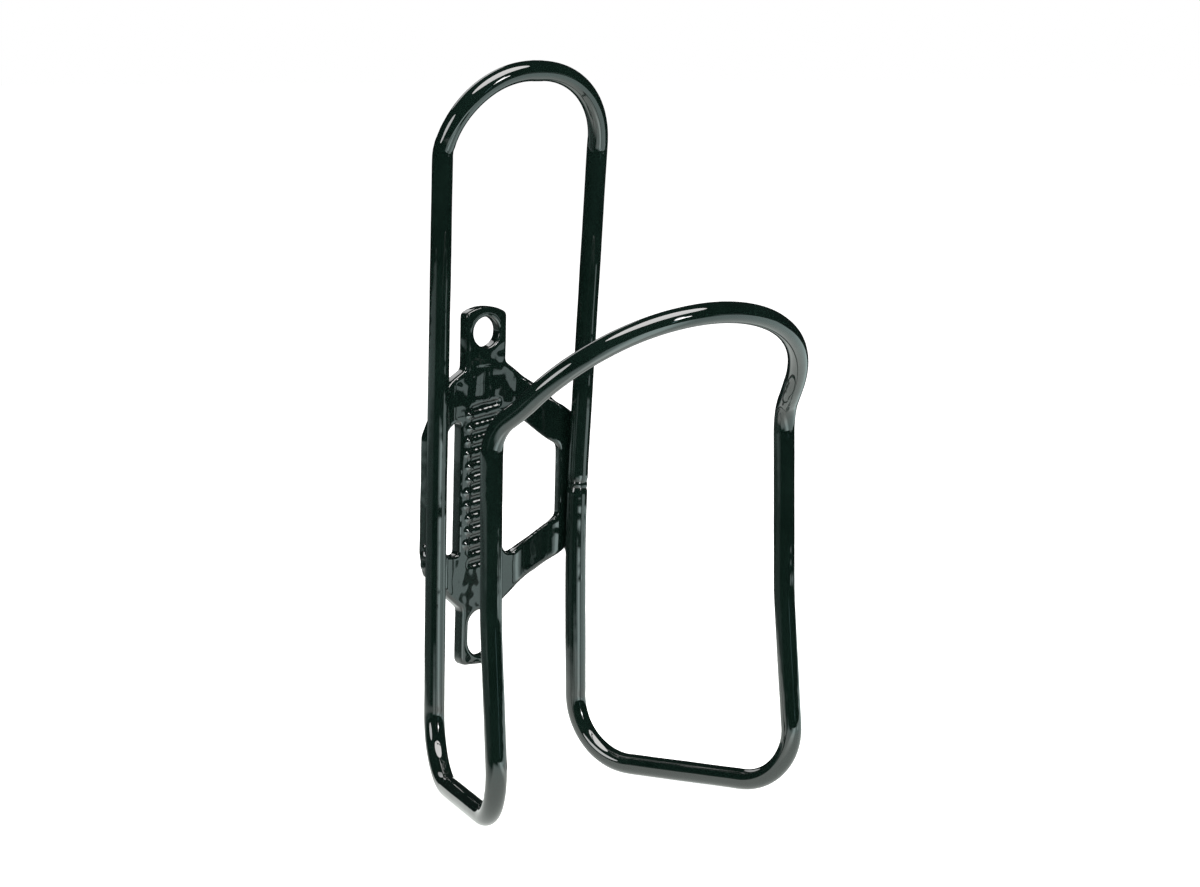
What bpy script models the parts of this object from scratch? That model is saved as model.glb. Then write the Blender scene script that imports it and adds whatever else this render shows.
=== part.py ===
"""Bicycle water bottle cage: one bent rod carried by a pressed mounting plate.

Metres, +Z up towards the bottle's mouth, -Y towards the bottle, +Y towards the frame tube. The
origin lies on the plate's back face, midway between the two mounting positions.
"""

import math

import bmesh
import bpy
import numpy as np
from mathutils import Vector

MM = 0.001

# Mounting standard and stock sizes, in millimetres.
BOSS_SPACING = 64.0
HOLE_D = 6.6
SLOT_L = 10.0
SHEET_T = 2.7
ROD_R = 2.1
GAP = 0.25

# Plate: the sheet's section across the bottle. The arms slope forward to flanges behind the legs.
TAB_HALF = 5.1
TAB_TOP = 37.4
TAB_CROWN = 1.4
TAB_BOTTOM = 38.7
FLANGE_BACK = -6.05
BEND_X = 10.6
ARM_ANGLE = math.radians(56.0)
ROOT_BEND_R = 4.0
FLANGE_BEND_R = 2.0
SHEET_REACH = 23.0
EDGE_R = 0.45

# Corners on the flat blank, before bending, from the top round to the bottom: distance out from
# the middle, z and radius.
RIGHT_WING = [
    (TAB_HALF, 25.6, 1.2),
    (21.3, 14.5, 1.6),
    (21.3, -13.0, 1.6),
    (TAB_HALF, -25.6, 1.2),
]
LEFT_WING = [
    (TAB_HALF, 24.2, 1.2),
    (19.5, 15.1, 2.0),
    (21.1, 11.4, 3.0),
    (21.1, -13.6, 1.6),
    (TAB_HALF, -26.5, 1.2),
]
RIGHT_WINDOW = [
    (5.1, 16.3, 2.2),
    (18.1, 7.8, 1.8),
    (18.1, -7.2, 1.6),
    (5.1, -17.8, 2.2),
]
LEFT_WINDOW = [
    (6.2, 14.0, 0.8),
    (17.8, 6.3, 1.8),
    (17.8, -7.6, 1.6),
    (9.0, -15.1, 3.0),
    (6.2, -15.1, 0.8),
]

# A row of plain slanted oval recesses down the strip's front.
RECESS_COUNT = 13
RECESS_PITCH = 2.75
RECESS_L = 7.4
RECESS_W = 1.4
RECESS_DEPTH = 0.5
RECESS_SLANT = math.radians(10.0)

# The rod's right half as a bending table: corner x, y, z and centreline bend radius.
ARCH_APEX = (0.0, -18.8, 87.4)
RIGHT_UPPER = [
    (16.6, -18.8, 87.4, 18.6),
    (19.6, -13.6, 71.0, 8.0),
]
LEG_KINK = (17.85, -11.15, -6.4, 60.0)
RIGHT_LOWER = [
    (18.35, -12.7, -58.9, 13.8),
    (37.35, -63.1, -57.9, 11.3),
    (36.9, -58.5, -18.5, 80.0),
    (36.65, -57.0, 19.3, 8.9),
    (33.6, -62.9, 24.3, 23.0),
    (24.9, -81.3, 43.3, 34.4),
]
ARC_APEX = (0.0, -81.3, 43.3)
JOINT_Z = -0.25
JOINT_HALF = 1.0
ROD_SIDES = 16
STEP_ANGLE = math.radians(8.0)

# The round on each rod end: depth behind the tip and how much smaller the radius is there.
END_ROUND = [(0.7, 0.0), (0.25, 0.2)]
TIP_LOSS = 0.55

# The butt weld's profile: share of its half height and radius.
WELD_PROFILE = [(-1.0, 1.45), (-0.8, 1.7), (-0.3, 1.85), (0.3, 1.85), (0.8, 1.7), (1.0, 1.45)]

# Weld beads: name, side, distance out, height and length.
BEADS = [
    ("weld_upper_left", -1, 16.4, 15.9, 4.6),
    ("weld_lower_left", -1, 18.0, -14.0, 7.4),
    ("weld_upper_right", 1, 19.3, 12.6, 5.6),
    ("weld_lower_right", 1, 18.9, -13.0, 6.4),
]
BEAD_Y = -8.1
BEAD_RX = 1.3
BEAD_RY = 1.4
BEAD_RIPPLE = 0.05
BEAD_RIPPLES = 9.0
BEAD_SUBDIVISIONS = 3


def start_scene():
    """An empty scene with one collection for the cage and one for the cutters."""
    for obj in list(bpy.data.objects):
        bpy.data.objects.remove(obj)
    cage = bpy.data.collections.new("Bottle_cage")
    cutters = bpy.data.collections.new("Cutters")
    for collection in (cage, cutters):
        bpy.context.scene.collection.children.link(collection)
    cutters.hide_render = True
    return cage, cutters


def material(name, colour, roughness, metallic):
    """One Principled BSDF finish."""
    made = bpy.data.materials.new(name)
    made.use_nodes = True
    shader = made.node_tree.nodes["Principled BSDF"]
    shader.inputs["Base Color"].default_value = (*colour, 1.0)
    shader.inputs["Roughness"].default_value = roughness
    shader.inputs["Metallic"].default_value = metallic
    return made


def enamel(name, roughness):
    """Green-black gloss enamel over metal."""
    return material(name, (0.012, 0.024, 0.020), roughness, 0.0)


def rounded(corners, steps=None):
    """The corners (point, radius) of a polyline as points, with each corner turned into an arc."""
    points = [np.array(p, float) for p, _ in corners]
    path = [points[0]]
    for i in range(1, len(points) - 1):
        into = points[i] - points[i - 1]
        out = points[i + 1] - points[i]
        into /= np.linalg.norm(into)
        out /= np.linalg.norm(out)
        turn = math.acos(np.clip(into @ out, -1.0, 1.0))
        radius = corners[i][1]
        if radius == 0.0 or turn < 1e-6:
            path.append(points[i])
            continue
        reach = radius * math.tan(turn / 2)
        start = points[i] - into * reach
        side = out - into * (into @ out)
        side /= np.linalg.norm(side)
        count = steps or max(2, math.ceil(turn / STEP_ANGLE))
        for k in range(count + 1):
            angle = turn * k / count
            offset = into * math.sin(angle) + side * (1 - math.cos(angle))
            path.append(start + offset * radius)
    path.append(points[-1])
    return path


def closed_outline(corners, steps=5):
    """A closed 2-D outline with rounded corners."""
    (x0, y0), r0 = corners[0]
    (x1, y1), _ = corners[1]
    middle = ((x0 + x1) / 2, (y0 + y1) / 2)
    loop = [(middle, 0.0)] + list(corners[1:]) + [((x0, y0), r0), (middle, 0.0)]
    return rounded(loop, steps)[:-1]


def prism(name, outline, low, high, along, collection):
    """A closed prism: the outline lies in XZ when along is Y, and in XY when along is Z."""
    bm = bmesh.new()
    ring = []
    for u, v in outline:
        place = (u, low, v) if along == "Y" else (u, v, low)
        ring.append(bm.verts.new(Vector(place) * MM))
    face = bm.faces.new(ring)
    raised = bmesh.ops.extrude_face_region(bm, geom=[face])["geom"]
    moved = [item for item in raised if isinstance(item, bmesh.types.BMVert)]
    travel = Vector((0.0, high - low, 0.0) if along == "Y" else (0.0, 0.0, high - low))
    bmesh.ops.translate(bm, verts=moved, vec=travel * MM)
    bmesh.ops.recalc_face_normals(bm, faces=bm.faces)
    mesh = bpy.data.meshes.new(name)
    bm.to_mesh(mesh)
    bm.free()
    made = bpy.data.objects.new(name, mesh)
    collection.objects.link(made)
    return made


def as_cutter(obj):
    obj.hide_render = True
    obj.display_type = "WIRE"
    return obj


def boolean(target, other, operation, label):
    step = target.modifiers.new(label, "BOOLEAN")
    step.operation = operation
    step.solver = "EXACT"
    step.object = other
    return step


def soften(target, width, label, segments=2):
    """A small round on every sharp edge."""
    step = target.modifiers.new(label, "BEVEL")
    step.width = width * MM
    step.segments = segments
    step.limit_method = "ANGLE"
    step.angle_limit = math.radians(40.0)
    step.use_clamp_overlap = True
    return step


def middle_line(reach):
    """The right half of the line midway through the bent sheet's thickness, in XY."""
    middle_y = -SHEET_T / 2
    flange_y = FLANGE_BACK + middle_y
    outer = BEND_X - FLANGE_BACK / math.tan(ARM_ANGLE)
    corners = [
        ((0.0, middle_y), 0.0),
        ((BEND_X, middle_y), ROOT_BEND_R + SHEET_T / 2),
        ((outer, flange_y), FLANGE_BEND_R + SHEET_T / 2),
        ((reach, flange_y), 0.0),
    ]
    return rounded(corners, 6)


def applied(obj):
    """The object with its modifiers made into mesh."""
    bpy.context.view_layer.update()
    evaluated = obj.evaluated_get(bpy.context.evaluated_depsgraph_get())
    mesh = bpy.data.meshes.new_from_object(evaluated)
    obj.modifiers.clear()
    obj.data = mesh
    return obj


def mitred_normals(line):
    """The normal towards the back at each point of a line in XY, long enough to keep the thickness."""
    normals = []
    for i in range(len(line)):
        into = line[i] - line[max(i - 1, 0)]
        out = line[min(i + 1, len(line) - 1)] - line[i]
        into = into if i > 0 else out
        out = out if i < len(line) - 1 else into
        into = into / np.linalg.norm(into)
        out = out / np.linalg.norm(out)
        along = (into + out) / np.linalg.norm(into + out)
        normals.append(np.array((-along[1], along[0])) / (along @ into))
    return normals


def bend(obj):
    """Bends a flat blank, centred on the XZ plane, round the strip's two bends on each side."""
    line = middle_line(SHEET_REACH)
    steps = [np.linalg.norm(b - a) for a, b in zip(line[:-1], line[1:])]
    along = np.concatenate([[0.0], np.cumsum(steps)])
    across = np.array(line)
    outward = np.array(mitred_normals(line))
    bm = bmesh.new()
    bm.from_mesh(obj.data)
    for station in along[1:-1]:
        for side in (-1, 1):
            everything = bm.verts[:] + bm.edges[:] + bm.faces[:]
            place = Vector((side * station * MM, 0.0, 0.0))
            bmesh.ops.bisect_plane(bm, geom=everything, plane_co=place, plane_no=(1.0, 0.0, 0.0))
    for vert in bm.verts:
        out = abs(vert.co.x) / MM
        depth = vert.co.y / MM
        x = np.interp(out, along, across[:, 0] + outward[:, 0] * depth)
        y = np.interp(out, along, across[:, 1] + outward[:, 1] * depth)
        vert.co = Vector((math.copysign(x, vert.co.x), y, vert.co.z / MM)) * MM
    bm.to_mesh(obj.data)
    bm.free()
    return obj


def crown():
    """The top tab's crowned end, between its two shoulders."""
    crown_r = (TAB_HALF**2 + TAB_CROWN**2) / (2 * TAB_CROWN)
    sweep = math.asin(TAB_HALF / crown_r)
    points = []
    for k in range(-5, 6):
        angle = sweep * k / 6
        height = TAB_TOP - crown_r * (1 - math.cos(angle))
        points.append((crown_r * math.sin(angle), height, 0.0))
    return points


def plate_outline():
    """The blank's outline in XZ, with a crowned top tab and a square lower tab."""
    shoulder = TAB_TOP - TAB_CROWN
    top = crown()
    right = [(TAB_HALF, shoulder, 1.0)] + RIGHT_WING + [(TAB_HALF, -TAB_BOTTOM, 1.4)]
    left = [(TAB_HALF, shoulder, 1.0)] + LEFT_WING + [(TAB_HALF, -TAB_BOTTOM, 1.4)]
    corners = top[5:] + right + [(-x, z, r) for x, z, r in reversed(left)] + top[:5]
    return closed_outline([((x, z), r) for x, z, r in corners])


def grown(outline, gap):
    """The outline moved outwards by a gap."""
    moved = []
    count = len(outline)
    for i, point in enumerate(outline):
        along = np.array(outline[(i + 1) % count]) - np.array(outline[i - 1])
        along /= np.linalg.norm(along)
        moved.append(point + gap * np.array((-along[1], along[0])))
    return moved


def window_outline(side, corners):
    """The opening between the strip and one flange, on the blank."""
    return closed_outline([((side * x, z), r) for x, z, r in corners])


def capsule(centre_x, centre_z, length, width, tilt=0.0):
    """An oval of straight sides and round ends; a length equal to its width gives a circle."""
    radius = width / 2
    half = length / 2 - radius
    points = []
    for end in (1, -1):
        for k in range(13):
            angle = -math.pi / 2 + math.pi * k / 12
            if half == 0.0 and k == 12:
                continue
            u = end * (half + radius * math.cos(angle))
            w = end * radius * math.sin(angle)
            x = centre_x + u * math.cos(tilt) - w * math.sin(tilt)
            z = centre_z + u * math.sin(tilt) + w * math.cos(tilt)
            points.append((x, z))
    return points


def mounting_plate(cage, cutters, finish):
    """The pressed sheet with its windows, bolt openings and row of recesses, cut flat and then bent."""
    half = SHEET_T / 2
    plate = prism("mounting_plate", plate_outline(), -half, half, "Y", cage)
    upper = capsule(0.0, BOSS_SPACING / 2, HOLE_D, HOLE_D)
    lower = capsule(0.0, -BOSS_SPACING / 2, SLOT_L, HOLE_D, math.pi / 2)
    openings = [
        ("Window_left", window_outline(-1, LEFT_WINDOW)),
        ("Window_right", window_outline(1, RIGHT_WINDOW)),
        ("Hole", upper),
        ("Slot", lower),
    ]
    for label, outline in openings:
        opening = prism(f"Cut_{label}", outline, -half - 2.0, half + 2.0, "Y", cutters)
        boolean(plate, as_cutter(opening), "DIFFERENCE", label)
    soften(plate, EDGE_R, "Rounded_edges")
    for k in range(RECESS_COUNT):
        height = (k - (RECESS_COUNT - 1) / 2) * RECESS_PITCH
        outline = capsule(0.0, height, RECESS_L, RECESS_W, RECESS_SLANT)
        label = f"Recess_{k + 1}"
        recess = prism(f"Cut_{label}", outline, -half - 1.0, RECESS_DEPTH - half, "Y", cutters)
        boolean(plate, as_cutter(recess), "DIFFERENCE", label)
    bend(applied(plate))
    plate.data.materials.append(finish)


def mirrored(corner):
    return (-corner[0], *corner[1:])


def leg_point(height):
    """The right rear leg's centre at a height between its kink and its top bend."""
    top = RIGHT_UPPER[1]
    share = (height - LEG_KINK[2]) / (top[2] - LEG_KINK[2])
    return tuple(LEG_KINK[i] + share * (top[i] - LEG_KINK[i]) for i in range(3))


def rod_path():
    """The whole rod's centreline, from the joint's lower side round to its upper side."""
    start = (*leg_point(JOINT_Z - JOINT_HALF), 0.0)
    finish = (*leg_point(JOINT_Z + JOINT_HALF), 0.0)
    down = [LEG_KINK] + RIGHT_LOWER
    arc = [(*ARC_APEX, 0.0)]
    back = [mirrored(c) for c in reversed(down)]
    arch_left = [mirrored(c) for c in reversed(RIGHT_UPPER)]
    table = [start] + down + arc + back + arch_left + [(*ARCH_APEX, 0.0)] + RIGHT_UPPER + [finish]
    return rounded([(c[:3], c[3]) for c in table])


def tube(name, path, radii, collection):
    """A round bar along a path, as a bevelled poly curve with closed ends."""
    curve = bpy.data.curves.new(name, "CURVE")
    curve.dimensions = "3D"
    curve.bevel_depth = ROD_R * MM
    curve.bevel_resolution = ROD_SIDES // 4
    curve.use_fill_caps = True
    spline = curve.splines.new("POLY")
    spline.points.add(len(path) - 1)
    for point, place, radius in zip(spline.points, path, radii):
        point.co = (*(Vector(place) * MM), 1.0)
        point.radius = radius / ROD_R
    made = bpy.data.objects.new(name, curve)
    collection.objects.link(made)
    bpy.context.view_layer.update()
    evaluated = made.evaluated_get(bpy.context.evaluated_depsgraph_get())
    mesh = bpy.data.meshes.new_from_object(evaluated)
    bpy.data.objects.remove(made)
    bm = bmesh.new()
    bm.from_mesh(mesh)
    bmesh.ops.remove_doubles(bm, verts=bm.verts, dist=1e-6)
    bmesh.ops.recalc_face_normals(bm, faces=bm.faces)
    for face in bm.faces:
        face.smooth = len(face.verts) == 4
    bm.to_mesh(mesh)
    bm.free()
    mesh.name = name
    solid = bpy.data.objects.new(name, mesh)
    collection.objects.link(solid)
    return solid


def rod_loop(cage, finish):
    """The bent rod, with a small round on the edge of each end."""
    path = rod_path()
    radii = [ROD_R] * len(path)
    for end, direction in ((0, 1), (-1, -1)):
        tip = path[end]
        along = path[end + direction] - tip
        along /= np.linalg.norm(along)
        for depth, loss in END_ROUND:
            place = tip + along * depth
            index = 1 if end == 0 else len(path) - 1
            path.insert(index, place)
            radii.insert(index, ROD_R - loss)
        radii[end] = ROD_R - TIP_LOSS
    rod = tube("rod_loop", path, radii, cage)
    rod.data.materials.append(finish)


def butt_weld(cage, finish):
    """The run of weld that closes the loop, set in between the rod's two ends."""
    half = JOINT_HALF - GAP
    path = [leg_point(JOINT_Z + half * share) for share, _ in WELD_PROFILE]
    weld = tube("butt_weld", path, [radius for _, radius in WELD_PROFILE], cage)
    weld.data.materials.append(finish)


def clearance_rod(cutters, side):
    """The rear leg, a gap larger all round, to cut the beads to."""
    table = [(*leg_point(40.0), 0.0), LEG_KINK, (*RIGHT_LOWER[0][:3], 0.0)]
    path = rounded([((side * c[0], c[1], c[2]), c[3]) for c in table])
    label = "Right" if side > 0 else "Left"
    return as_cutter(tube(f"Cut_leg_{label}", path, [ROD_R + GAP] * len(path), cutters))


def weld_bead(name, centre, length, leg, plate_space, cage, finish):
    """A rippled bead in the corner between a flange's end and the rear leg."""
    bm = bmesh.new()
    bmesh.ops.create_icosphere(bm, subdivisions=BEAD_SUBDIVISIONS, radius=1.0)
    for vert in bm.verts:
        ripple = 1.0 + BEAD_RIPPLE * math.sin(vert.co.z * BEAD_RIPPLES)
        vert.co.x *= BEAD_RX * ripple
        vert.co.y *= BEAD_RY * ripple
        vert.co.z *= length / 2
        vert.co = (vert.co + Vector(centre)) * MM
    mesh = bpy.data.meshes.new(name)
    bm.to_mesh(mesh)
    bm.free()
    for polygon in mesh.polygons:
        polygon.use_smooth = True
    bead = bpy.data.objects.new(name, mesh)
    cage.objects.link(bead)
    boolean(bead, leg, "DIFFERENCE", "Leg_clearance")
    boolean(bead, plate_space, "DIFFERENCE", "Plate_clearance")
    bead.data.materials.append(finish)


def weld_beads(cage, cutters, finish):
    """Four beads, one at each end of each flange."""
    reach = SHEET_T / 2 + GAP
    space = prism("Cut_plate_space", grown(plate_outline(), GAP), -reach, reach, "Y", cutters)
    bend(as_cutter(space))
    legs = {side: clearance_rod(cutters, side) for side in (-1, 1)}
    for name, side, out, height, length in BEADS:
        centre = (side * out, BEAD_Y, height)
        weld_bead(name, centre, length, legs[side], space, cage, finish)


def main():
    cage, cutters = start_scene()
    mounting_plate(cage, cutters, enamel("plate_enamel", 0.22))
    rod_loop(cage, enamel("rod_enamel", 0.16))
    weld_finish = enamel("weld_enamel", 0.24)
    butt_weld(cage, weld_finish)
    weld_beads(cage, cutters, weld_finish)


main()
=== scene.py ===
"""Looks of the bicycle bottle cage: glossy green-black enamel over bent rod and pressed sheet.

Lengths in the tables are millimetres in the row's frame; everything placed in the scene is in
metres. The rod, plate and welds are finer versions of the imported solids, which they replace.
"""

import math

import bmesh
import bpy
import numpy as np
from mathutils import Matrix, Vector, noise


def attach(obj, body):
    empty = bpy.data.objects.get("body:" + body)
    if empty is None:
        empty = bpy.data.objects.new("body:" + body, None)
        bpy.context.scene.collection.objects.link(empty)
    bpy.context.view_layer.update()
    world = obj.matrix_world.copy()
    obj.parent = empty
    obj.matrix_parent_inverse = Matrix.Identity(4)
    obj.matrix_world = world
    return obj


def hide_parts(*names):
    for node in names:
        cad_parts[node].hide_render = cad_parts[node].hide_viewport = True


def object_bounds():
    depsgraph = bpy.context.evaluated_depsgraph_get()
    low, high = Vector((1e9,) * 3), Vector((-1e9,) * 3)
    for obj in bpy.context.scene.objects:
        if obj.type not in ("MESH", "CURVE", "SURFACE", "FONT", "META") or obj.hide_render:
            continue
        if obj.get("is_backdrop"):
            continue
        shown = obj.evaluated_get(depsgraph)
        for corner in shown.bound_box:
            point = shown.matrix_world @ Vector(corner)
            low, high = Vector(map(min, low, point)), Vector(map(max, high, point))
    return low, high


MM = 0.001

# Camera: place (metres), viewing direction, and framing of the whole 1200 x 887 picture.
CAMERA_PLACE = (-0.48620, -0.69414, 0.11755)
CAMERA_AZIMUTH = math.radians(-36.76)
CAMERA_ELEVATION = math.radians(7.32)
CAMERA_ROLL = math.radians(1.35)
LENS_MM = 121.3
SENSOR_MM = 36.0
CLIP_NEAR, CLIP_FAR = 0.01, 20.0

# The rod's right half as a bending table: corner x, y, z and centreline bend radius.
ARCH_APEX = (0.0, -18.8, 87.4)
RIGHT_UPPER = [
    (16.6, -18.8, 87.4, 18.6),
    (19.6, -13.6, 71.0, 8.0),
]
LEG_KINK = (17.85, -11.15, -6.4, 500.0)
RIGHT_LOWER = [
    (18.35, -12.7, -58.9, 13.8),
    (37.35, -63.1, -57.9, 11.3),
    (36.9, -58.5, -18.5, 80.0),
    (36.65, -57.0, 19.3, 8.9),
    (33.6, -62.9, 24.3, 23.0),
    (24.9, -81.3, 43.3, 34.4),
]
ARC_APEX = (0.0, -81.3, 43.3)
SEAM_Z = 40.0
CAGE_MIDDLE = (0.0, -38.0, 12.0)

# The rod's section, the enamel on it, and that enamel's swells: waves per mm and height.
ROD_R = 2.1
ENAMEL_T = 0.06
ROD_SWELLS = ((0.11, 0.045), (0.5, 0.012))
RING_SIDES = 40
STEP_MM = 0.7

# Bends tighter than this radius are squeezed slightly oval, eased in over a few rings.
OVAL_BEND_R = 40.0
OVAL_SQUEEZE = 0.035
OVAL_EASE = 3

# The joint on the right rear leg: the rod's neck and the ring of weld in it.
JOINT_Z = -0.25
LEG_FRONT_Y = -25.0
NEAR_JOINT = 8.0
NECK_HALF = 1.5
NECK_DEPTH = 0.34
RING_WELD_HALF = 1.5
RING_WELD_STEPS = 25
RING_WELD_SIDES = 56
RING_WELD_R = 1.45
RING_WELD_CROWN = 0.6
RING_WELD_FULLNESS = 0.7
RING_WELD_LUMPS = (0.7, 0.12)

# Plate: remeshing, the coat on it, and that coat's swells.
PLATE_VOXEL = 0.24
PLATE_SMOOTH_FACTOR = 0.5
PLATE_SMOOTH_STEPS = 12
PLATE_COAT = 0.05
PLATE_SLOW_SWELL = (0.16, 0.06)
PLATE_FINE_SWELL = (0.55, 0.02)
FINE_SWELL_OFFSET = (7.0, 3.0, 1.0)
FACES_BOTTLE = -0.5

# The shallow upright crease above the recesses.
CREASE_X = -0.6
CREASE_SPREAD = 1.1
CREASE_DEPTH = 0.10
CREASE_BOTTOM, CREASE_TOP = 16.5, 25.0

# Drops of enamel at the left ends of the recesses: x and z.
DROP_H = 0.36
DROP_SPREAD = 0.48
DROP_X, DROP_STRAY, DROP_TURN = -3.9, 0.35, 1.7
DROP_TOP = 14.6
DROP_COUNT = 11
RECESS_PITCH = 2.75
DROPS = [
    (DROP_X + DROP_STRAY * math.sin(DROP_TURN * i), DROP_TOP - RECESS_PITCH * i)
    for i in range(DROP_COUNT)
]

# Weld beads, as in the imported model: side, distance out, height and length.
BEADS = [
    ("weld_upper_left", -1, 16.4, 15.9, 4.6),
    ("weld_lower_left", -1, 18.0, -14.0, 7.4),
    ("weld_upper_right", 1, 19.3, 12.6, 5.6),
    ("weld_lower_right", 1, 18.9, -13.0, 6.4),
]
BEAD_Y = -8.1
BEAD_HALF_WIDTH = 1.3
BEAD_HALF_DEPTH = 1.4
BEAD_SUBDIVISIONS = 5
BEAD_RIPPLES = (11.0, 0.05)
BEAD_LUMPS = (1.7, 0.10)

# Enamel colours, and its patterns as noise scale, detail and roughness. The finishes give each
# kind of piece its orange peel and waves (mm) and its lowest and highest roughness.
DEEP = (0.0024, 0.0074, 0.0054, 1.0)
LIGHTER = (0.0040, 0.0106, 0.0080, 1.0)
# The lighter grey-green that goes on sharp edges in patches is partly edge wear and partly a painted edge
# highlight.
WORN_AND_EDGE_SHEEN = (0.050, 0.062, 0.058, 1.0)
DEPTH_PATTERN = (90.0, 3.0, 0.55)
CLOUD_PATTERN = (1600.0, 2.0, 0.5)
WEAR_AND_SHEEN_PATTERN = (420.0, 4.0, 0.65)
PEEL_PATTERN = (700.0, 2.0, 0.5)
WAVE_DETAIL, WAVE_ROUGHNESS = 1.0, 0.4
DEPTH_CHANGE = (0.35, 0.65)
CLOUD_CHANGE = (0.35, 0.75)
WORN_AND_SHEEN_EDGES = (0.53, 0.62)
WORN_AND_SHEEN_PATCHES = (0.52, 0.68)
WORN_AND_SHEEN_MOST = 0.6
WORN_DULLNESS = 0.25
ENAMEL_SPECULAR = 0.9
COAT_WEIGHT = 0.6
COAT_ROUGHNESS = 0.02
ROD_FINISH = dict(peel_mm=0.0012, wave_mm=0.006, wave_scale=160.0, rough_low=0.018, rough_high=0.045)
PLATE_FINISH = dict(peel_mm=0.0020, wave_mm=0.016, wave_scale=230.0, rough_low=0.02, rough_high=0.05)
WELD_FINISH = dict(peel_mm=0.004, wave_mm=0.02, wave_scale=420.0, rough_low=0.03, rough_high=0.06)

# Table: its half width, faint mottling and glow.
TABLE_HALF = 3000.0
TABLE_DARK = (0.83, 0.84, 0.83, 1.0)
TABLE_PALE = (0.88, 0.88, 0.87, 1.0)
TABLE_PATTERN = (35.0, 3.0, 0.6)
TABLE_ROUGHNESS = 0.9
TABLE_GLOW = 1.0

# The light that the gloss picks up from the table: the sheet's edges (mm) and its tints.
LIGHT_LEFT, LIGHT_RIGHT = -800.0, 900.0
LIGHT_FRONT, LIGHT_BACK = -600.0, 900.0
LIGHT_STRENGTH = 1.0
NEAR_TINT = (0.96, 1.0, 0.96, 1.0)
FAR_TINT = (0.81, 1.0, 0.98, 1.0)
TINT_CHANGE = (0.07, 0.20)

# Its lit sectors: bearings in degrees (0 in front, positive to the right) and distances in metres
# over which the light fades.
CLOSE_FADE = (0.075, 0.14)
SECTOR_SOFT = 10.0
TOWARD_SECTOR, TOWARD_FADE = (-45.0, 20.0), (0.17, 0.26)
FRONT_SECTOR, FRONT_FADE = (-14.0, 95.0), (0.372, 0.392)
BEAM_SECTOR, BEAM_RISE, BEAM_EXTRA = (0.0, 10.0), (0.06, 0.12), 1.3
RIGHT_SECTOR, RIGHT_SOFT, RIGHT_FADE = (32.0, 60.0), 8.0, (0.47, 0.50)
LEFT_EDGE, LEFT_FADE = (-85.0, -70.0), (0.72, 0.82)
LEFT_RISE, LEFT_LEVELS = (0.42, 0.52), (0.13, 0.34)

# The low white board in front of the plate: its arc (mm and degrees), and the bearings and the
# height in metres at which its light ends.
BOUNCE_R = 1200.0
BOUNCE_HEIGHTS = (-156.0, -104.0)
BOUNCE_FIRST, BOUNCE_SWEEP = -40.0, 150.0
BOUNCE_STEPS = 60
BOARD_SECTOR, BOARD_SOFT = (32.0, 44.0), 3.0
BOARD_TOP = (-0.119, -0.115)
BOARD_LEVEL = 0.85

# Lights: place, aim, width, height (mm), radiance and colour.
WHITE = (1.0, 1.0, 1.0)
WARM = (1.0, 0.98, 0.97)
DAYLIGHT = (0.55, 0.95, 1.0)
LIGHTS = [
    ("Overhead_softbox", (-90.0, -420.0, 1000.0), (0.0, -40.0, 10.0), 1250.0, 780.0, 6.0, WARM),
    ("Left_lamp", (-1180.0, -140.0, 360.0), (0.0, -40.0, 10.0), 560.0, 560.0, 4.5, WHITE),
    ("Front_lamp", (170.0, -1250.0, 430.0), (0.0, -40.0, 10.0), 130.0, 430.0, 6.0, WHITE),
    ("Back_softbox", (100.0, 950.0, 650.0), (0.0, 0.0, 10.0), 700.0, 450.0, 1.6, WHITE),
    ("High_spot", (205.0, -1128.0, 365.0), (0.0, -60.0, 60.0), 200.0, 150.0, 14.0, WHITE),
    ("Window_glow", (180.0, -1250.0, 45.0), (0.0, -40.0, 0.0), 60.0, 180.0, 1.1, DAYLIGHT),
]
BACKDROP = (1.0, 1.0, 1.0, 1.0)
DIM_ROOM = (0.010, 0.012, 0.012, 1.0)


# ---------------------------------------------------------------- materials


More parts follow.
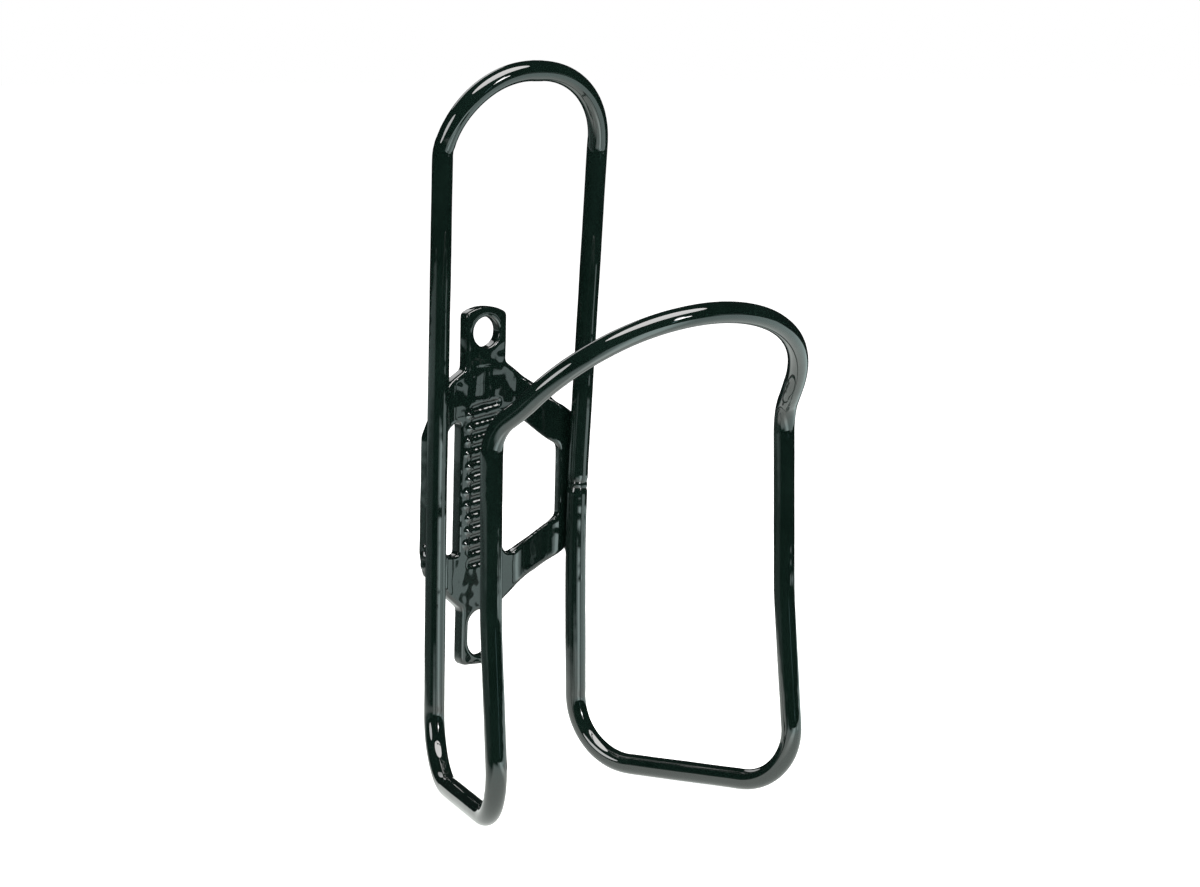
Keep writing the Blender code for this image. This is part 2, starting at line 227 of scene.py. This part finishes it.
class Nodes:
    """A material's node tree, with short calls to add and join its nodes."""

    def __init__(self, name):
        self.material = bpy.data.materials.new(name)
        self.material.use_nodes = True
        self.tree = self.material.node_tree
        self.shader = self.tree.nodes["Principled BSDF"]

    def add(self, kind, **settings):
        node = self.tree.nodes.new(kind)
        for key, value in settings.items():
            setattr(node, key, value)
        return node

    def join(self, out, into):
        self.tree.links.new(out, into)

    def feed(self, node, pairs):
        """Sets each socket to a value, or joins it to another node's output."""
        for value, socket in pairs:
            if isinstance(value, bpy.types.NodeSocket):
                self.join(value, node.inputs[socket])
            else:
                node.inputs[socket].default_value = value

    def noise(self, scale, detail, roughness):
        coords = self.add("ShaderNodeTexCoord")
        node = self.add("ShaderNodeTexNoise")
        node.inputs["Scale"].default_value = scale
        node.inputs["Detail"].default_value = detail
        node.inputs["Roughness"].default_value = roughness
        self.join(coords.outputs["Object"], node.inputs["Vector"])
        return node.outputs["Fac"]

    def ranged(self, value, span, low, high):
        """The value's span mapped to run from low to high, and level beyond it."""
        node = self.add("ShaderNodeMapRange")
        node.inputs["From Min"].default_value = span[0]
        node.inputs["From Max"].default_value = span[1]
        node.inputs["To Min"].default_value = low
        node.inputs["To Max"].default_value = high
        self.join(value, node.inputs["Value"])
        return node.outputs["Result"]

    def fade(self, value, span):
        return self.ranged(value, span, 1.0, 0.0)

    def mix(self, factor, first, second):
        """A colour between first and second; each is a colour or another node's output."""
        node = self.add("ShaderNodeMix", data_type="RGBA")
        self.feed(node, ((factor, 0), (first, 6), (second, 7)))
        return node.outputs[2]

    def maths(self, operation, first, second):
        node = self.add("ShaderNodeMath", operation=operation)
        self.feed(node, ((first, 0), (second, 1)))
        return node.outputs[0]

    def times(self, first, second):
        return self.maths("MULTIPLY", first, second)

    def bump(self, height, distance, after=None):
        node = self.add("ShaderNodeBump")
        node.inputs["Strength"].default_value = 1.0
        node.inputs["Distance"].default_value = distance
        self.join(height, node.inputs["Height"])
        if after is not None:
            self.join(after, node.inputs["Normal"])
        return node.outputs["Normal"]


def enamel(name, peel_mm, wave_mm, wave_scale, rough_low, rough_high):
    """Thick gloss enamel: deep green-black and faint orange peel. Sharp edges are rubbed duller and painted
    lighter in patches, partly as wear and partly as a painted edge highlight.
    """
    n = Nodes(name)
    depth = n.noise(*DEPTH_PATTERN)
    cloud = n.noise(*CLOUD_PATTERN)
    tint = n.mix(n.ranged(depth, DEPTH_CHANGE, 0.0, 1.0), DEEP, LIGHTER)
    geometry = n.add("ShaderNodeNewGeometry")
    # Sharp convex edges turn lighter and rougher in patches: partly wear, partly a painted edge highlight.
    edge = n.ranged(geometry.outputs["Pointiness"], WORN_AND_SHEEN_EDGES, 0.0, 1.0)
    patchy = n.ranged(n.noise(*WEAR_AND_SHEEN_PATTERN), WORN_AND_SHEEN_PATCHES, 0.0, WORN_AND_SHEEN_MOST)
    wear_and_sheen = n.times(edge, patchy)
    n.join(n.mix(wear_and_sheen, tint, WORN_AND_EDGE_SHEEN), n.shader.inputs["Base Color"])
    gloss = n.ranged(cloud, CLOUD_CHANGE, rough_low, rough_high)
    rubbed = n.times(wear_and_sheen, WORN_DULLNESS)
    n.join(n.maths("ADD", gloss, rubbed), n.shader.inputs["Roughness"])
    peel = n.bump(n.noise(*PEEL_PATTERN), peel_mm * MM)
    wave = n.bump(n.noise(wave_scale, WAVE_DETAIL, WAVE_ROUGHNESS), wave_mm * MM, after=peel)
    n.join(wave, n.shader.inputs["Normal"])
    n.shader.inputs["Specular IOR Level"].default_value = ENAMEL_SPECULAR
    n.shader.inputs["Coat Weight"].default_value = COAT_WEIGHT
    n.shader.inputs["Coat Roughness"].default_value = COAT_ROUGHNESS
    return n.material


def table_material():
    n = Nodes("Studio_table")
    speck = n.noise(*TABLE_PATTERN)
    n.join(n.mix(speck, TABLE_DARK, TABLE_PALE), n.shader.inputs["Base Color"])
    n.shader.inputs["Roughness"].default_value = TABLE_ROUGHNESS
    n.shader.inputs["Emission Color"].default_value = (1.0, 1.0, 1.0, 1.0)
    n.shader.inputs["Emission Strength"].default_value = TABLE_GLOW
    return n.material


def distance_bearing_height(n):
    """Distance from the origin, bearing in degrees (0 in front, positive to the right) and height."""
    coords = n.add("ShaderNodeTexCoord")
    split = n.add("ShaderNodeSeparateXYZ")
    n.join(coords.outputs["Object"], split.inputs[0])
    across = split.outputs["X"]
    ahead = n.times(split.outputs["Y"], -1.0)
    squares = n.maths("ADD", n.times(across, across), n.times(ahead, ahead))
    bearing = n.times(n.maths("ARCTAN2", across, ahead), math.degrees(1.0))
    return n.maths("SQRT", squares, 0.0), bearing, split.outputs["Z"]


def between(n, value, span, soft):
    """1 within the span, fading to 0 over soft on each side."""
    low, high = span
    rise = n.ranged(value, (low - soft, low), 0.0, 1.0)
    return n.times(rise, n.fade(value, (high, high + soft)))


def shine(n, far, lit):
    """Turns a material into the table's light, cooler far out, that lets everything behind it through."""
    light = n.add("ShaderNodeEmission")
    tint = n.mix(n.ranged(far, TINT_CHANGE, 0.0, 1.0), NEAR_TINT, FAR_TINT)
    n.join(tint, light.inputs["Color"])
    n.join(n.times(lit, LIGHT_STRENGTH), light.inputs["Strength"])
    clear = n.add("ShaderNodeBsdfTransparent")
    both = n.add("ShaderNodeAddShader")
    n.join(light.outputs[0], both.inputs[0])
    n.join(clear.outputs[0], both.inputs[1])
    n.join(both.outputs[0], n.tree.nodes["Material Output"].inputs["Surface"])
    return n.material


def table_light_material():
    """What the enamel sees of the table: lit close by and to the front right, dim far to the left."""
    n = Nodes("Table_light")
    far, bearing, _ = distance_bearing_height(n)
    close = n.fade(far, CLOSE_FADE)
    toward = n.times(n.fade(far, TOWARD_FADE), between(n, bearing, TOWARD_SECTOR, SECTOR_SOFT))
    front = n.times(between(n, bearing, FRONT_SECTOR, SECTOR_SOFT), n.fade(far, FRONT_FADE))
    beam = n.times(between(n, bearing, BEAM_SECTOR, SECTOR_SOFT), n.ranged(far, BEAM_RISE, 0.0, BEAM_EXTRA))
    front = n.times(front, n.maths("ADD", beam, 1.0))
    right = n.times(between(n, bearing, RIGHT_SECTOR, RIGHT_SOFT), n.fade(far, RIGHT_FADE))
    left = n.times(n.fade(bearing, LEFT_EDGE), n.ranged(far, LEFT_RISE, *LEFT_LEVELS))
    left = n.times(left, n.fade(far, LEFT_FADE))
    lit = close
    for more in (toward, front, right, left):
        lit = n.maths("MAXIMUM", lit, more)
    return shine(n, far, lit)


def bounce_material():
    """A low white board in front of the plate."""
    n = Nodes("Front_bounce")
    far, bearing, height = distance_bearing_height(n)
    board = between(n, bearing, BOARD_SECTOR, BOARD_SOFT)
    return shine(n, far, n.times(board, n.ranged(height, BOARD_TOP, BOARD_LEVEL, 0.0)))


# ---------------------------------------------------------------- meshes


def rounded(corners, step):
    """A polyline's corners (point, radius) as evenly spaced points, with each turn an arc.

    Returns the points and the bend radius at each, 0 on the straights.
    """
    points = [np.array(p, float) for p, _ in corners]
    path, bends = [points[0]], [0.0]

    def straight_to(target):
        length = np.linalg.norm(target - path[-1])
        count = max(1, round(length / step))
        start = path[-1]
        for k in range(1, count + 1):
            path.append(start + (target - start) * k / count)
            bends.append(0.0)

    for i in range(1, len(points) - 1):
        into = points[i] - points[i - 1]
        out = points[i + 1] - points[i]
        into = into / np.linalg.norm(into)
        out = out / np.linalg.norm(out)
        turn = math.acos(np.clip(into @ out, -1.0, 1.0))
        radius = corners[i][1]
        if radius == 0.0 or turn < 1e-6:
            straight_to(points[i])
            continue
        reach = radius * math.tan(turn / 2)
        start = points[i] - into * reach
        straight_to(start)
        side = out - into * (into @ out)
        side = side / np.linalg.norm(side)
        count = max(3, math.ceil(radius * turn / step))
        for k in range(1, count + 1):
            angle = turn * k / count
            offset = into * math.sin(angle) + side * (1 - math.cos(angle))
            path.append(start + offset * radius)
            bends.append(radius)
    straight_to(points[-1])
    return np.array(path), np.array(bends)


def frames(path, closed):
    """At each point of the path, the direction away from the cage's middle and the one across it."""
    if closed:
        along = np.roll(path, -1, axis=0) - np.roll(path, 1, axis=0)
    else:
        along = np.gradient(path, axis=0)
    along /= np.linalg.norm(along, axis=1)[:, None]
    outward = path - np.array(CAGE_MIDDLE)
    outward -= along * np.sum(outward * along, axis=1)[:, None]
    outward /= np.linalg.norm(outward, axis=1)[:, None]
    return outward, np.cross(along, outward)


def tube_mesh(name, path, radii, sides, closed=False, flat=None):
    """A tube round a path; flat is how much each ring is squeezed towards the inside of its bend."""
    outward, across = frames(path, closed)
    curve = np.roll(path, -1, axis=0) + np.roll(path, 1, axis=0) - 2 * path
    bm = bmesh.new()
    rings = []
    for i, centre in enumerate(path):
        squeeze = 0.0 if flat is None else flat[i]
        towards = curve[i] / max(np.linalg.norm(curve[i]), STEP_MM ** 2 / OVAL_BEND_R)
        ring = []
        for k in range(sides):
            angle = 2 * math.pi * k / sides
            out = outward[i] * math.cos(angle) + across[i] * math.sin(angle)
            place = centre + out * radii[i] * (1.0 - squeeze * (out @ towards) ** 2)
            swell = sum(noise.noise(Vector(place) * waves) * high for waves, high in ROD_SWELLS)
            ring.append(bm.verts.new(Vector(place + out * swell) * MM))
        rings.append(ring)
    pairs = list(zip(rings[:-1], rings[1:]))
    if closed:
        pairs.append((rings[-1], rings[0]))
    else:
        bm.faces.new(rings[0][::-1])
        bm.faces.new(rings[-1])
    for near, far in pairs:
        for k in range(sides):
            j = (k + 1) % sides
            bm.faces.new((near[k], near[j], far[j], far[k]))
    bmesh.ops.recalc_face_normals(bm, faces=bm.faces)
    return finished(bm, name)


def smooth_shaded(mesh):
    for polygon in mesh.polygons:
        polygon.use_smooth = True


def finished(bm, name):
    """The bmesh as a smooth-shaded object in the scene."""
    mesh = bpy.data.meshes.new(name)
    bm.to_mesh(mesh)
    bm.free()
    smooth_shaded(mesh)
    made = bpy.data.objects.new(name, mesh)
    bpy.context.scene.collection.objects.link(made)
    return made


def dress(obj, material, stands_for):
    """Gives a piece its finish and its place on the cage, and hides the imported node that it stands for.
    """
    obj.data.materials.clear()
    obj.data.materials.append(material)
    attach(obj, "root")
    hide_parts(stands_for)


# ---------------------------------------------------------------- rod


def mirrored(corner):
    return (-corner[0], *corner[1:])


def leg_point(height):
    """The right rear leg's centre at a height between its kink and its top bend."""
    top = RIGHT_UPPER[1]
    share = (height - LEG_KINK[2]) / (top[2] - LEG_KINK[2])
    return tuple(LEG_KINK[i] + share * (top[i] - LEG_KINK[i]) for i in range(3))


def rod_path():
    """The rod's centreline as one closed turn, starting and ending half way up the right leg."""
    start = (*leg_point(SEAM_Z), 0.0)
    down = [LEG_KINK] + RIGHT_LOWER
    arc = [(*ARC_APEX, 0.0)]
    back = [mirrored(c) for c in reversed(down)]
    arch_left = [mirrored(c) for c in reversed(RIGHT_UPPER)]
    table = [start] + down + arc + back + arch_left + [(*ARCH_APEX, 0.0)] + RIGHT_UPPER + [start]
    path, bends = rounded([(c[:3], c[3]) for c in table], STEP_MM)
    path, bends = path[:-1], bends[:-1]
    steps = np.linalg.norm(path - np.roll(path, 1, axis=0), axis=1)
    apart = steps > STEP_MM / 2
    return path[apart], bends[apart]


def on_right_leg(path):
    return (path[:, 0] > 0) & (path[:, 1] > LEG_FRONT_Y)


def eased(values, reach):
    """The values averaged over a few neighbours each way."""
    kernel = np.ones(2 * reach + 1) / (2 * reach + 1)
    padded = np.pad(values, reach, mode="edge")
    return np.convolve(padded, kernel, mode="valid")


def rod(material):
    """The rod, necked where its two ends meet."""
    path, bends = rod_path()
    tight = (bends > 0) & (bends < OVAL_BEND_R)
    flat = eased(np.where(tight, OVAL_SQUEEZE, 0.0), OVAL_EASE)
    neck = np.clip(1.0 - np.abs(path[:, 2] - JOINT_Z) / NECK_HALF, 0.0, 1.0) * on_right_leg(path)
    radii = np.full(len(path), ROD_R + ENAMEL_T)
    radii -= NECK_DEPTH * neck ** 2 * (3.0 - 2.0 * neck)
    made = tube_mesh("rod_enamelled", path, radii, RING_SIDES, True, flat)
    dress(made, material, "rod_loop")


# ---------------------------------------------------------------- plate


def applied(obj):
    """The object with its modifiers made into mesh."""
    bpy.context.view_layer.update()
    evaluated = obj.evaluated_get(bpy.context.evaluated_depsgraph_get())
    mesh = bpy.data.meshes.new_from_object(evaluated)
    obj.modifiers.clear()
    obj.data = mesh


def coat_height(p, faces_bottle):
    """The coat's thickness at a point of the plate: slow waves, and drops and a crease in front."""
    slow = noise.noise(p * PLATE_SLOW_SWELL[0]) * PLATE_SLOW_SWELL[1]
    fine = noise.noise(p * PLATE_FINE_SWELL[0] + Vector(FINE_SWELL_OFFSET)) * PLATE_FINE_SWELL[1]
    drop = 0.0
    if faces_bottle:
        for x, z in DROPS:
            drop += DROP_H * math.exp(-((p.x - x) ** 2 + (p.z - z) ** 2) / (2 * DROP_SPREAD ** 2))
        if CREASE_BOTTOM < p.z < CREASE_TOP:
            drop -= CREASE_DEPTH * math.exp(-((p.x - CREASE_X) / CREASE_SPREAD) ** 2)
    return PLATE_COAT + slow + fine + drop


def coat_plate(mesh):
    """Uneven enamel over the whole plate."""
    for vert, normal in zip(mesh.vertices, [v.normal.copy() for v in mesh.vertices]):
        height = coat_height(vert.co / MM, normal.y < FACES_BOTTLE)
        vert.co += normal * height * MM


def plate(material):
    """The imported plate, remeshed finely with its corners softened as if by a thick coat."""
    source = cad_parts["mounting_plate"]
    obj = bpy.data.objects.new("plate_enamelled", source.data.copy())
    bpy.context.scene.collection.objects.link(obj)
    remesh = obj.modifiers.new("Remesh", "REMESH")
    remesh.mode = "VOXEL"
    remesh.voxel_size = PLATE_VOXEL * MM
    remesh.use_smooth_shade = True
    smooth = obj.modifiers.new("Smooth", "SMOOTH")
    smooth.factor = PLATE_SMOOTH_FACTOR
    smooth.iterations = PLATE_SMOOTH_STEPS
    applied(obj)
    coat_plate(obj.data)
    smooth_shaded(obj.data)
    dress(obj, material, "mounting_plate")


# ---------------------------------------------------------------- welds


def bead(name, side, out, height, length, material):
    """A lumpy bead that runs into the rod and the flange."""
    bm = bmesh.new()
    bmesh.ops.create_icosphere(bm, subdivisions=BEAD_SUBDIVISIONS, radius=1.0)
    centre = Vector((side * out, BEAD_Y, height))
    ripples, ripple_h = BEAD_RIPPLES
    lumps, lump_h = BEAD_LUMPS
    for vert in bm.verts:
        unit = vert.co.copy()
        ripple = 1.0 + ripple_h * math.sin(unit.z * ripples) + lump_h * noise.noise(unit * lumps + centre)
        shape = Vector((unit.x * BEAD_HALF_WIDTH, unit.y * BEAD_HALF_DEPTH, unit.z * length / 2))
        vert.co = (shape * ripple + centre) * MM
    dress(finished(bm, name + "_enamelled"), material, name)


def kinked_leg(heights):
    """The right rear leg's centre at each height near the joint, on its rounded kink."""
    path, _ = rod_path()
    near = path[on_right_leg(path) & (np.abs(path[:, 2]) < NEAR_JOINT)]
    near = near[np.argsort(near[:, 2])]
    return np.stack([np.interp(heights, near[:, 2], near[:, i]) for i in range(3)], axis=1)


def butt_weld(material):
    """The ring of weld in the groove between the rod's ends."""
    heights = np.linspace(-RING_WELD_HALF, RING_WELD_HALF, RING_WELD_STEPS)
    path = kinked_leg(JOINT_Z + heights)
    shares = np.clip(np.cos(heights / RING_WELD_HALF * math.pi / 2), 0.0, 1.0)
    radii = RING_WELD_R + RING_WELD_CROWN * shares ** RING_WELD_FULLNESS
    ring = tube_mesh("butt_weld_enamelled", path, radii, RING_WELD_SIDES)
    lumps, lump_h = RING_WELD_LUMPS
    for vert in ring.data.vertices:
        p = vert.co / MM
        vert.co += vert.normal * noise.noise(p * lumps) * lump_h * MM
    dress(ring, material, "butt_weld")


# ---------------------------------------------------------------- studio


def sheet(name, left, right, front, back, material):
    """A level rectangle at the cage's foot that is part of the studio."""
    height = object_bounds()[0].z
    bm = bmesh.new()
    corners = ((left, front), (right, front), (right, back), (left, back))
    bm.faces.new([bm.verts.new((x * MM, y * MM, height)) for x, y in corners])
    made = finished(bm, name)
    made.data.materials.append(material)
    made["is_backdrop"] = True
    return made


def only_reflected(obj):
    obj.visible_camera = False
    obj.visible_shadow = False
    obj.visible_diffuse = False


def table():
    """The white table that the cage stands on, and the light that its gloss picks up from it."""
    top = sheet("Table", -TABLE_HALF, TABLE_HALF, -TABLE_HALF, TABLE_HALF, table_material())
    top.visible_glossy = False
    edges = (LIGHT_LEFT, LIGHT_RIGHT, LIGHT_FRONT, LIGHT_BACK)
    only_reflected(sheet("Table_light", *edges, table_light_material()))


def front_bounce():
    """A low arc of board in front of the cage, seen only in its gloss."""
    bm = bmesh.new()
    rows = []
    for step in range(BOUNCE_STEPS + 1):
        bearing = math.radians(BOUNCE_FIRST + BOUNCE_SWEEP * step / BOUNCE_STEPS)
        foot = Vector((math.sin(bearing), -math.cos(bearing), 0.0)) * BOUNCE_R * MM
        rows.append([bm.verts.new(foot + Vector((0.0, 0.0, z * MM))) for z in BOUNCE_HEIGHTS])
    for (a, b), (c, d) in zip(rows[:-1], rows[1:]):
        bm.faces.new((a, b, d, c))
    made = finished(bm, "Front_bounce")
    made.data.materials.append(bounce_material())
    made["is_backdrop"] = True
    only_reflected(made)


def aimed(place, aim):
    direction = Vector(aim) - Vector(place)
    turn = direction.to_track_quat("-Z", "Y").to_matrix().to_4x4()
    return Matrix.Translation(Vector(place) * MM) @ turn


def lights():
    for name, place, aim, width, height, radiance, colour in LIGHTS:
        light = bpy.data.lights.new(name, "AREA")
        light.shape = "ELLIPSE"
        light.size = width * MM
        light.size_y = height * MM
        light.energy = radiance * math.pi * light.size * light.size_y * math.pi / 4
        light.color = colour
        obj = bpy.data.objects.new(name, light)
        obj.matrix_world = aimed(place, aim)
        obj.visible_camera = False
        bpy.context.scene.collection.objects.link(obj)


def surroundings():
    """White to the camera, a dim room to everything else."""
    world = bpy.data.worlds.new("Studio")
    bpy.context.scene.world = world
    world.use_nodes = True
    tree = world.node_tree
    room = tree.nodes["Background"]
    white = tree.nodes.new("ShaderNodeBackground")
    white.inputs["Color"].default_value = BACKDROP
    room.inputs["Color"].default_value = DIM_ROOM
    path = tree.nodes.new("ShaderNodeLightPath")
    mix = tree.nodes.new("ShaderNodeMixShader")
    tree.links.new(path.outputs["Is Camera Ray"], mix.inputs[0])
    tree.links.new(room.outputs[0], mix.inputs[1])
    tree.links.new(white.outputs[0], mix.inputs[2])
    tree.links.new(mix.outputs[0], tree.nodes["World Output"].inputs["Surface"])
    bpy.context.scene.view_settings.view_transform = "Standard"


def camera():
    back = Vector((
        math.sin(CAMERA_AZIMUTH) * math.cos(CAMERA_ELEVATION),
        -math.cos(CAMERA_AZIMUTH) * math.cos(CAMERA_ELEVATION),
        math.sin(CAMERA_ELEVATION),
    ))
    right = Vector((math.cos(CAMERA_AZIMUTH), math.sin(CAMERA_AZIMUTH), 0.0))
    up = back.cross(right)
    turned_right = right * math.cos(CAMERA_ROLL) + up * math.sin(CAMERA_ROLL)
    turned_up = up * math.cos(CAMERA_ROLL) - right * math.sin(CAMERA_ROLL)
    data = bpy.data.cameras.new("Camera")
    data.lens = LENS_MM
    data.sensor_width = SENSOR_MM
    data.clip_start = CLIP_NEAR
    data.clip_end = CLIP_FAR
    made = bpy.data.objects.new("Camera", data)
    turn = Matrix((turned_right, turned_up, back)).transposed().to_4x4()
    made.matrix_world = Matrix.Translation(CAMERA_PLACE) @ turn
    bpy.context.scene.collection.objects.link(made)
    bpy.context.scene.camera = made


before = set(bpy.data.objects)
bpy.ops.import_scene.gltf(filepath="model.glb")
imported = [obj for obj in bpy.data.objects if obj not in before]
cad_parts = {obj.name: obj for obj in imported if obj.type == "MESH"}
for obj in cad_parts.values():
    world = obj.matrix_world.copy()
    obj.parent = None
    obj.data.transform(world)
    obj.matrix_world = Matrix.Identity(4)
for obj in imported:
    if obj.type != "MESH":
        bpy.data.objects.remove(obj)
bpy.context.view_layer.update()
table()
front_bounce()
rod(enamel("Rod_enamel", **ROD_FINISH))
plate(enamel("Plate_enamel", **PLATE_FINISH))
weld_enamel = enamel("Weld_enamel", **WELD_FINISH)
butt_weld(weld_enamel)
for row in BEADS:
    bead(*row, weld_enamel)
lights()
surroundings()
camera()
